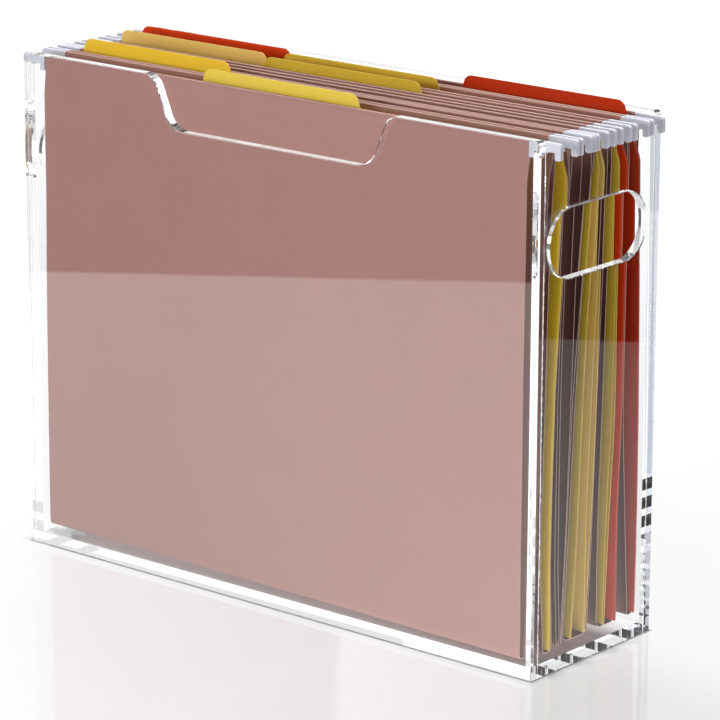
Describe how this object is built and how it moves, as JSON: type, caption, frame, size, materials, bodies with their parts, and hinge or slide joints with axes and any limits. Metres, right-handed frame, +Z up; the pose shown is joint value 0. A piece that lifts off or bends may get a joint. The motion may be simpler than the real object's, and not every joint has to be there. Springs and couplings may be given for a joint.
{
  "type": "hanging file box",
  "caption": "Clear acrylic box with a scooped front and hand holes in its ends, holding lift-out hanging folders on its end rails and tabbed card folders inside them.",
  "frame": {"origin": "centre of the flat underside, on the surface that the box stands on", "axes": "+X to the right along the box, towards the right hand hole; +Y to the rear, away from the scooped front panel; +Z up"},
  "size_m": [0.322, 0.09, 0.2493],
  "materials": {
    "clear_acrylic": "clear, flame-polished edges",
    "mauve_paper": "matt",
    "strip_steel": "satin",
    "hook_plastic": "pale grey-white, slightly translucent",
    "light_yellow_card": "matt",
    "golden_card": "matt",
    "olive_card": "matt",
    "pale_gold_card": "matt",
    "gold_card": "matt",
    "red_card": "matt",
    "orange_card": "matt"
  },
  "bodies": {
    "box": {"front_panel": "clear_acrylic", "rear_panel": "clear_acrylic", "left_end_panel": "clear_acrylic", "right_end_panel": "clear_acrylic", "base_panel": "clear_acrylic"},
    "hanging_folder_1": {"hanging_folder_1_sheet": "mauve_paper", "hanging_folder_1_front_strip": "strip_steel", "hanging_folder_1_rear_strip": "strip_steel", "hanging_folder_1_hooks": "hook_plastic"},
    "hanging_folder_2": {"hanging_folder_2_sheet": "mauve_paper", "hanging_folder_2_front_strip": "strip_steel", "hanging_folder_2_rear_strip": "strip_steel", "hanging_folder_2_hooks": "hook_plastic"},
    "hanging_folder_3": {"hanging_folder_3_sheet": "mauve_paper", "hanging_folder_3_front_strip": "strip_steel", "hanging_folder_3_rear_strip": "strip_steel", "hanging_folder_3_hooks": "hook_plastic"},
    "hanging_folder_4": {"hanging_folder_4_sheet": "mauve_paper", "hanging_folder_4_front_strip": "strip_steel", "hanging_folder_4_rear_strip": "strip_steel", "hanging_folder_4_hooks": "hook_plastic"},
    "hanging_folder_5": {"hanging_folder_5_sheet": "mauve_paper", "hanging_folder_5_front_strip": "strip_steel", "hanging_folder_5_rear_strip": "strip_steel", "hanging_folder_5_hooks": "hook_plastic"},
    "hanging_folder_6": {"hanging_folder_6_sheet": "mauve_paper", "hanging_folder_6_front_strip": "strip_steel", "hanging_folder_6_rear_strip": "strip_steel", "hanging_folder_6_hooks": "hook_plastic"},
    "hanging_folder_7": {"hanging_folder_7_sheet": "mauve_paper", "hanging_folder_7_front_strip": "strip_steel", "hanging_folder_7_rear_strip": "strip_steel", "hanging_folder_7_hooks": "hook_plastic"},
    "light_yellow_tab_folder": {"light_yellow_tab_folder": "light_yellow_card"},
    "golden_tab_folder": {"golden_tab_folder": "golden_card"},
    "olive_tab_folder": {"olive_tab_folder": "olive_card"},
    "pale_gold_tab_folder": {"pale_gold_tab_folder": "pale_gold_card"},
    "gold_tab_folder": {"gold_tab_folder": "gold_card"},
    "red_tab_folder": {"red_tab_folder": "red_card"},
    "orange_tab_folder": {"orange_tab_folder": "orange_card"}
  },
  "joints": [
    {"name": "hanging_folder_1_lift", "type": "slide", "parent": "box", "child": "hanging_folder_1", "axis": [0, 0, 1], "range_m": [0, 0.25]},
    {"name": "hanging_folder_2_lift", "type": "slide", "parent": "box", "child": "hanging_folder_2", "axis": [0, 0, 1], "range_m": [0, 0.25]},
    {"name": "hanging_folder_3_lift", "type": "slide", "parent": "box", "child": "hanging_folder_3", "axis": [0, 0, 1], "range_m": [0, 0.25]},
    {"name": "hanging_folder_4_lift", "type": "slide", "parent": "box", "child": "hanging_folder_4", "axis": [0, 0, 1], "range_m": [0, 0.25]},
    {"name": "hanging_folder_5_lift", "type": "slide", "parent": "box", "child": "hanging_folder_5", "axis": [0, 0, 1], "range_m": [0, 0.25]},
    {"name": "hanging_folder_6_lift", "type": "slide", "parent": "box", "child": "hanging_folder_6", "axis": [0, 0, 1], "range_m": [0, 0.25]},
    {"name": "hanging_folder_7_lift", "type": "slide", "parent": "box", "child": "hanging_folder_7", "axis": [0, 0, 1], "range_m": [0, 0.25]},
    {"name": "light_yellow_tab_folder_lift", "type": "slide", "parent": "hanging_folder_1", "child": "light_yellow_tab_folder", "axis": [0, 0, 1], "range_m": [0, 0.25]},
    {"name": "golden_tab_folder_lift", "type": "slide", "parent": "hanging_folder_2", "child": "golden_tab_folder", "axis": [0, 0, 1], "range_m": [0, 0.25]},
    {"name": "olive_tab_folder_lift", "type": "slide", "parent": "hanging_folder_5", "child": "olive_tab_folder", "axis": [0, 0, 1], "range_m": [0, 0.25]},
    {"name": "pale_gold_tab_folder_lift", "type": "slide", "parent": "hanging_folder_5", "child": "pale_gold_tab_folder", "axis": [0, 0, 1], "range_m": [0, 0.25]},
    {"name": "gold_tab_folder_lift", "type": "slide", "parent": "hanging_folder_6", "child": "gold_tab_folder", "axis": [0, 0, 1], "range_m": [0, 0.25]},
    {"name": "red_tab_folder_lift", "type": "slide", "parent": "hanging_folder_6", "child": "red_tab_folder", "axis": [0, 0, 1], "range_m": [0, 0.25]},
    {"name": "orange_tab_folder_lift", "type": "slide", "parent": "hanging_folder_7", "child": "orange_tab_folder", "axis": [0, 0, 1], "range_m": [0, 0.25]}
  ]
}
